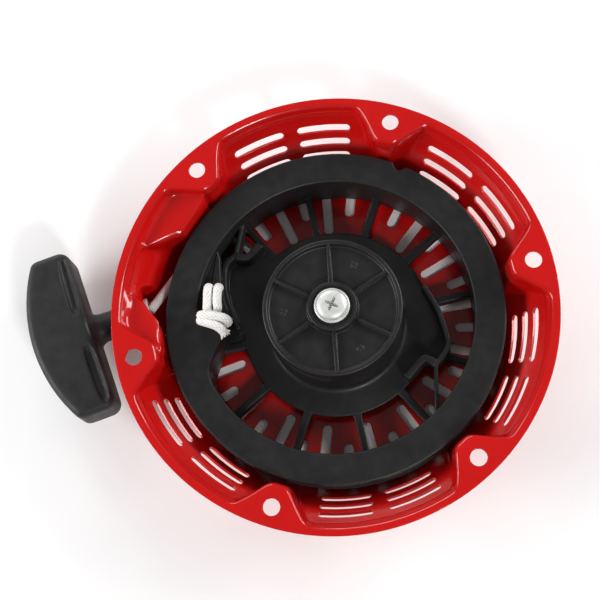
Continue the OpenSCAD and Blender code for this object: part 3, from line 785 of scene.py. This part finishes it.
# ------------------------------------------------------------------ ratchet guide, screw
def ratchet_guide():
    """Disc with a raised rim, a skirt with pockets for the pawls' pegs, a boss, ribs and small marks."""
    shape = Shape()
    r, top, face, under = GUIDE_R, GUIDE_TOP, GUIDE_FACE, GUIDE_UNDER
    angle = np.linspace(0, 360, 360, endpoint=False)
    skirt = np.where(in_sectors(angle, PEG_POCKETS), r - 0.5, r - 2.3)
    rim = [(GUIDE_BORE, GUIDE_PLATE_UNDER), (skirt, GUIDE_PLATE_UNDER), (skirt, under)]
    rim += [(r - 0.3, under), (r, under + 0.3), (r, top - 0.8)]
    rim += arc((r - 0.8, top - 0.8), 0.8, 0, 90, 4)[1:] + [(r - 1.5, top)]
    rim += arc((r - 1.5, top - 0.7), 0.7, 90, 180, 3)[1:] + [(r - 2.35, face + 0.6)]
    rim += arc((r - 3.1, face + 0.7), 0.7, 0, -90, 3)[1:] + [(GUIDE_BORE, face)]
    shape.lathe(rim, len(angle))
    boss = [(GUIDE_BORE, under), (10.2, under), (10.6, under + 0.4), (10.9, face), (10.6, face + 0.8)]
    boss += [(10.5, 3.9)] + arc((9.9, 3.9), 0.6, 0, 90, 3)[1:] + [(8.6, 4.5), (8.3, 4.1), (GUIDE_BORE, 4.1)]
    shape.lathe(boss, 96)
    for i in range(GUIDE_RIBS):
        outline = radial_bar(GUIDE_PHASE + 360 * i / GUIDE_RIBS, [(9.9, 0.85), (r - 1.9, 0.65)])
        shape.prism(outline, face - 0.3, face + 1.75, edge=0.3)
    for i in range(3):
        x, y = polar(20.5, GUIDE_PHASE + 30 + 120 * i)
        ring = [(0.9, face - 0.2), (1.5, face - 0.2), (1.45, face + 0.14), (0.95, face + 0.14)]
        mark = Shape().lathe(ring, 28)
        shape.add([(px + x, py + y, pz) for px, py, pz in mark.points], mark.faces)
    return make("guide_disc", shape, GUIDE_BLACK)


def screw():
    """Domed head on a short neck. Two blades that narrow downward cut its cross recess."""
    shoulder, foot = SCREW_Z + 1.1, SCREW_Z + 1.0
    head = [(0.01, SCREW_Z - 1.2), (2.5, SCREW_Z - 1.2), (2.5, SCREW_Z), (SCREW_R - 0.3, SCREW_Z)]
    head += [(SCREW_R, SCREW_Z + 0.3), (SCREW_R, shoulder)]
    head += [(SCREW_R * math.cos(a), shoulder + 2.05 * math.sin(a)) for a in np.radians(range(10, 90, 10))]
    head.append((0.01, shoulder + 2.05))
    obj = make("screw_head", Shape().lathe(head, 64), ZINC, smooth=False)
    for angle in (45, 135):
        blade = Shape().prism([(-3.6, -0.75), (3.6, -0.75), (3.6, 0.75), (-3.6, 0.75)], foot, foot + 4)
        c, s = polar(1, angle)
        for i, (x, y, z) in enumerate(blade.points):
            k = 0.45 + 0.55 * (z - foot) / 2.2
            blade.points[i] = ((c * x - s * y) * k, (s * x + c * y) * k, z)
        carve(obj, make("blade", blade, ZINC, smooth=False))
    crease(obj, 32)
    return obj


def screw_washer():
    """Flat ring with rounded outer edges."""
    section = [(2.7, 4.7), (7.0, 4.7), (7.4, 5.0), (7.4, 5.3), (7.0, 5.7), (2.7, 5.7)]
    return make("screw_washer_disc", Shape().lathe(section, 72), ZINC)


# ------------------------------------------------------------------ rope
def hump(v):
    """0 at whole numbers and 1 halfway between them."""
    return 1 - (2 * (v % 1) - 1) ** 2


def braided(name, path, step=0.28, sides=48):
    """A braided rope along a path: two families of strands cross over and under one another."""
    path = resampled(path, step)
    turn = np.linspace(0, 2 * math.pi, sides, endpoint=False)
    shape, heights, rows = Shape(), [], []
    pitch = 2 * math.pi * ROPE_R / STRANDS * 1.15
    travelled = 0.0
    for i, (p, side, other) in enumerate(frames_along(path)):
        a = STRANDS * turn / (2 * math.pi) + travelled / pitch
        b = STRANDS * turn / (2 * math.pi) - travelled / pitch
        over = (np.floor(a) + np.floor(b)) % 2 == 0
        height = np.where(over, hump(a) * (0.55 + 0.45 * hump(b)), hump(b) * (0.55 + 0.45 * hump(a)))
        r = ROPE_R * (1 - RELIEF) + ROPE_R * RELIEF * height
        if i in (0, len(path) - 1):
            r = r * 0.55
        rows.append(p + r[:, None] * (np.cos(turn)[:, None] * side + np.sin(turn)[:, None] * other))
        heights.append(height)
        travelled += step
    shape.grid([list(map(tuple, row)) for row in rows]).caps(len(rows), sides)
    mesh = bpy.data.meshes.new(name)
    mesh.from_pydata([(x * MM, y * MM, z * MM) for x, y, z in shape.points], [], shape.faces)
    mesh.materials.append(ROPE)
    # The braid height is kept for the rope's material, which paints the low grooves darker as painted shade.
    layer = mesh.attributes.new("braid", "FLOAT", "POINT")
    layer.data.foreach_set("value", np.concatenate(heights).astype(np.float32))
    for polygon in mesh.polygons:
        polygon.use_smooth = True
    obj = bpy.data.objects.new(name, mesh)
    bpy.context.scene.collection.objects.link(obj)
    return obj


# The knot's middle, the direction of its neck in degrees, and its strands as (across, along the neck, z)
KNOT_AT, KNOT_TURN = Vector((-48.6, 16.4)), 69.8
KNOT = dict(
    left=[(-2.9, 14.6, -14.5), (-2.9, 13.6, -10.6), (-2.9, 11.0, -9.0), (-2.9, 7.0, -9.2), (-2.8, 3.6, -9.4),
          (-1.6, 1.4, -9.6), (1.0, -0.6, -9.6)],
    right=[(1.3, 14.6, -14.5), (1.3, 13.6, -10.6), (1.3, 11.0, -8.8), (1.3, 7.0, -8.8), (1.4, 4.0, -9.8),
           (-0.4, 2.6, -11.4), (-4.4, 1.8, -10.6), (-5.4, 1.0, -8.0), (-3.6, 0.7, -6.2), (0.6, 0.2, -5.8),
           (4.8, -0.6, -6.8), (6.2, -1.8, -9.2), (3.4, -2.2, -11.4), (-1.0, -1.2, -11.6), (-4.6, -0.8, -10.2),
           (-5.4, -1.4, -7.6), (-3.0, -2.4, -6.4), (0.6, -3.6, -6.2), (3.0, -4.8, -6.9), (4.2, -5.9, -7.8)],
)


def knot_path(points):
    """A strand of the reel's knot. The points are given from the knot's middle, along and up the neck."""
    up = Vector(polar(1, KNOT_TURN))
    right = Vector((up.y, -up.x))
    return spline([(*(KNOT_AT + right * x + up * y), z) for x, y, z in points], 8)


def frayed_end(name, at, direction, count=60, length=2.6):
    """Loose filaments at a cut rope's end."""
    shape = Shape()
    direction = np.array(direction, float)
    direction /= np.linalg.norm(direction)
    u = np.cross(direction, (0, 0, 1))
    u /= np.linalg.norm(u)
    v = np.cross(direction, u)
    for _ in range(count):
        a, r = rng.uniform(0, 2 * math.pi), ROPE_R * 0.85 * math.sqrt(rng.uniform(0, 1))
        start = np.array(at) + (u * math.cos(a) + v * math.sin(a)) * r - direction * 1.0
        lean = (u * math.cos(a) + v * math.sin(a)) * rng.uniform(0.1, 0.75) * r / ROPE_R
        reach = length * rng.uniform(0.55, 1.0)
        line = [start + (direction + lean * t) * (reach + 1.0) * t for t in np.linspace(0, 1, 5)]
        shape.tube(line, np.linspace(0.2, 0.1, 5), 6)
    obj = make(name, shape, ROPE)
    # A braid height of 0.8 gives the filaments a pale tone, outside the painted groove shade.
    obj.data.attributes.new("braid", "FLOAT", "POINT").data.foreach_set(
        "value", np.full(len(obj.data.vertices), 0.8, np.float32))
    return obj


def leaving_angle():
    """Angle at which the rope's straight run to the exit leaves the coil, in degrees."""
    out = math.degrees(math.acos(LEAD_R / math.hypot(EXIT.x, EXIT.y)))
    return math.degrees(math.atan2(EXIT.y, EXIT.x)) - out


def coil_path():
    """Turns in the reel's groove: two side by side on the drum, the rest on top, out to the lead."""
    points = []
    total = COIL_TURNS * 360
    for a in np.arange(0, total + 1, 6):
        turn = a / 360
        r = COIL_R + (LEAD_R - COIL_R) * smooth_step(turn, 1.85, 2.1)
        z = COIL_Z + sum(rise * smooth_step(turn, low, high) for low, high, rise in COIL_STEPS)
        points.append(polar(r, leaving_angle() - total + a, z))
    return points


def lead_in_path():
    """Ends of the straight run: where it leaves the coil, and the mouth of the rope's hole."""
    start = np.array(polar(LEAD_R, leaving_angle(), EXIT.z))
    mouth = np.array((EXIT.x + SHEET + 1.0, EXIT.y, EXIT.z))
    return start, mouth


# ------------------------------------------------------------------ grip
def grip_outline():
    """The bar seen from above: bowed outside, straight inside, with rounded corners."""
    half, outer = GRIP_LEN / 2, GRIP_X - GRIP_W
    lean = math.degrees(math.asin((half - GRIP_CORNER) / (GRIP_BOW - GRIP_CORNER)))
    points = arc((outer + GRIP_BOW, EXIT.y), GRIP_BOW, 180 + lean, 180 - lean, 24)
    corner = outer + GRIP_BOW + (GRIP_BOW - GRIP_CORNER) * math.cos(math.radians(180 - lean))
    points += arc((corner, EXIT.y + half - GRIP_CORNER), GRIP_CORNER, 180 - lean, 90, 6)
    corner_x, corner_y = GRIP_X - GRIP_INNER_CORNER, half - GRIP_INNER_CORNER
    points += arc((corner_x, EXIT.y + corner_y), GRIP_INNER_CORNER, 90, 0, 6)
    points += arc((corner_x, EXIT.y - corner_y), GRIP_INNER_CORNER, 0, -90, 6)
    points += arc((corner, EXIT.y - half + GRIP_CORNER), GRIP_CORNER, -90, -180 + lean, 6)
    return tidy_outline(points)


def grip_stem():
    """Turned round the rope, widening to the bar in a fillet, and a little flattened."""
    stations = [(GRIP_X - 6, 6.2), (GRIP_X - 3, 7.0), (GRIP_X + 14, 6.0), (-79.3, 5.8), (-78.6, 5.2)]
    for a in np.radians(np.linspace(0, 90, 8)):
        x, r = GRIP_X - 0.8 + STEM_FILLET * (1 - math.cos(a)), 6.3 + STEM_FILLET * (1 - math.sin(a))
        stations.append((x, r))
    ring = list(zip(*circle(48)))
    rows = [[(x, EXIT.y + r * c, EXIT.z + r * s * 0.96) for c, s in ring] for x, r in sorted(stations)]
    return Shape().grid(rows).caps(len(rows), len(ring))


def grip():
    """T-shaped moulding: bar and stem joined, then remeshed so that every edge is soft."""
    z0, z1 = EXIT.z - GRIP_T / 2, EXIT.z + GRIP_T / 2
    levels = [(z0 + drop, inward) for inward, drop in quarter(GRIP_EDGE, (90, 68, 45, 22, 0))]
    levels += [(z1 - drop, inward) for inward, drop in quarter(GRIP_EDGE, (0, 22, 45, 68, 90))]
    outline = grip_outline()
    bar = Shape().grid([[(x, y, z) for x, y in inset(outline, d)] for z, d in levels])
    obj = make("grip_bar", bar.caps(len(levels), len(outline)), GRIP_BLACK, smooth=False)
    carve(obj, make("stem", grip_stem(), GRIP_BLACK, smooth=False), "UNION")
    for side in (-1, 1):
        for z in (z0, z1):
            carve(obj, groove_cutter(side, z))
    remesh = obj.modifiers.new("soften", "REMESH")
    remesh.mode = "VOXEL"
    remesh.voxel_size = 0.55 * MM
    soft = obj.modifiers.new("smooth", "SMOOTH")
    soft.factor = 0.5
    soft.iterations = 7
    apply_modifiers(obj)
    for start, end, r in GRIP_BORES:
        carve(obj, make("bore", Shape().add(*disc_x(start, end, r)), GRIP_BLACK, smooth=False))
    crease(obj, 50)
    return obj


def groove_cutter(side, z):
    """A round-bottomed finger groove along the bar's inner edge, on one side of the stem."""
    across = (7.0, 8.2, 11.0, 16.0, 22.0, 28.0, 32.4, 33.6)
    inward = (-5.0, -4.5, -4.2, -3.9, -3.7, -3.5, -3.3, -3.3)
    radii = (0.5, 1.6, 2.3, 2.4, 2.4, 2.3, 1.6, 0.5)
    path = [(GRIP_X + x, EXIT.y + side * y, z) for x, y in zip(inward, across)]
    return make("groove", Shape().tube(path, radii, 20), GRIP_BLACK, smooth=False)


# ------------------------------------------------------------------ put together
def place(obj, body, slot, *nodes):
    """Fixes a piece to a body and hides the frame's nodes that it stands in for. slot is not used."""
    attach(obj, body)
    if nodes:
        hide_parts(*nodes)


def show_object():
    """All pieces. The frame's own nodes that are kept get a material."""
    place(housing(), "housing", "red_paint", "housing")
    place(reel(), "reel", "black_plastic", "reel")
    place(ratchet_guide(), "guide", "black_plastic", "ratchet_guide")
    place(screw(), "housing", "zinc", "setting_screw")
    place(screw_washer(), "housing", "zinc", "screw_washer")
    place(grip(), "grip", "grip_plastic", "grip")
    strands = {side: knot_path(points) for side, points in KNOT.items()}
    place(braided("reel_knot", strands["right"]), "reel", "rope", "rope_knot_reel")
    place(braided("reel_knot_bight", strands["left"]), "reel", "rope")
    end = strands["right"][-1]
    place(frayed_end("reel_knot_fray", end, end - strands["right"][-4]), "reel", "rope")
    place(braided("coil_turns", coil_path(), step=0.8, sides=20), "reel", "rope", "rope_coil")
    start, mouth = lead_in_path()
    place(braided("lead_in", [start, mouth]), "housing", "rope", "rope_lead_in")
    lead = braided("lead_out", [mouth + (-0.3, 0, 0), (-113.5, EXIT.y, EXIT.z)])
    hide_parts("rope_lead_out")
    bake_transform(lead)
    for name, material in (("spindle", STEEL), ("rope_guide", ZINC), ("recoil_spring", SPRING),
                           ("friction_spring", SPRING), ("pawl_a", STEEL), ("pawl_b", STEEL),
                           ("pawl_spring_a", SPRING), ("pawl_spring_b", SPRING), ("grip_washer", ZINC),
                           ("rope_knot_grip", ROPE)):
        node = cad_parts[name]
        node.data.materials.clear()
        node.data.materials.append(material)


# ------------------------------------------------------------------ camera, floor and light
# Angles in degrees, lengths in millimetres
CAMERA = dict(azimuth=-0.42, elevation=74.97, roll=-19.79, distance=560.1, look_at=(-11.53, 8.28, 0.0),
              lens=80.6)


def add_camera():
    """The photo's viewpoint, turned round its look-at point."""
    a, e, roll = (math.radians(CAMERA[k]) for k in ("azimuth", "elevation", "roll"))
    back = Vector((math.sin(a) * math.cos(e), -math.cos(a) * math.cos(e), math.sin(e)))
    right = Vector((math.cos(a), math.sin(a), 0))
    up = back.cross(right)
    right, up = right * math.cos(roll) + up * math.sin(roll), up * math.cos(roll) - right * math.sin(roll)
    data = bpy.data.cameras.new("camera")
    data.lens = CAMERA["lens"]
    data.sensor_width = 36
    data.clip_start, data.clip_end = 0.01, 20
    camera = bpy.data.objects.new("camera", data)
    eye = Vector(CAMERA["look_at"]) * MM + back * CAMERA["distance"] * MM
    camera.matrix_world = Matrix.Translation(eye) @ Matrix((right, up, back)).transposed().to_4x4()
    bpy.context.scene.collection.objects.link(camera)
    bpy.context.scene.camera = camera


def add_light(name, at, size, power):
    """A white rectangular light that looks at the object."""
    data = bpy.data.lights.new(name, "AREA")
    data.shape = "RECTANGLE"
    data.size, data.size_y = size
    data.energy = power
    light = bpy.data.objects.new(name, data)
    light.location = at
    light.rotation_euler = (Vector(at) - Vector((0, 0, -0.01))).to_track_quat("Z", "Y").to_euler()
    bpy.context.scene.collection.objects.link(light)


def add_stage():
    """Floor, world and lights."""
    span = 6000.0
    corners = [(-span, -span), (span, -span), (span, span), (-span, span)]
    floor = Shape().add([(x, y, FLOOR_Z) for x, y in corners], [(0, 1, 2, 3)])
    n = Nodes("pale_floor", (0.93, 0.93, 0.93), 0.8)
    n.drive("Base Color", n.ramp(n.noise(2.0, 2), [(0.3, (0.92, 0.92, 0.925)), (0.7, (0.95, 0.95, 0.95))]))
    make("floor", floor, n.material)
    world = bpy.data.worlds.new("studio")
    world.use_nodes = True
    world.node_tree.nodes["Background"].inputs["Color"].default_value = (1, 1, 1, 1)
    world.node_tree.nodes["Background"].inputs["Strength"].default_value = 0.17
    bpy.context.scene.world = world
    bpy.context.scene.view_settings.view_transform = "Standard"
    add_light("front", (0.12, -0.85, 0.8), (0.22, 0.22), 5.5)
    add_light("left", (-0.9, 0.15, 0.4), (0.7, 0.35), 8.5)
    add_light("right", (0.9, 0.1, 0.4), (0.7, 0.35), 8.5)
    add_light("back", (-0.1, 0.95, 0.4), (0.8, 0.2), 4)


add_camera()
show_object()
add_stage()
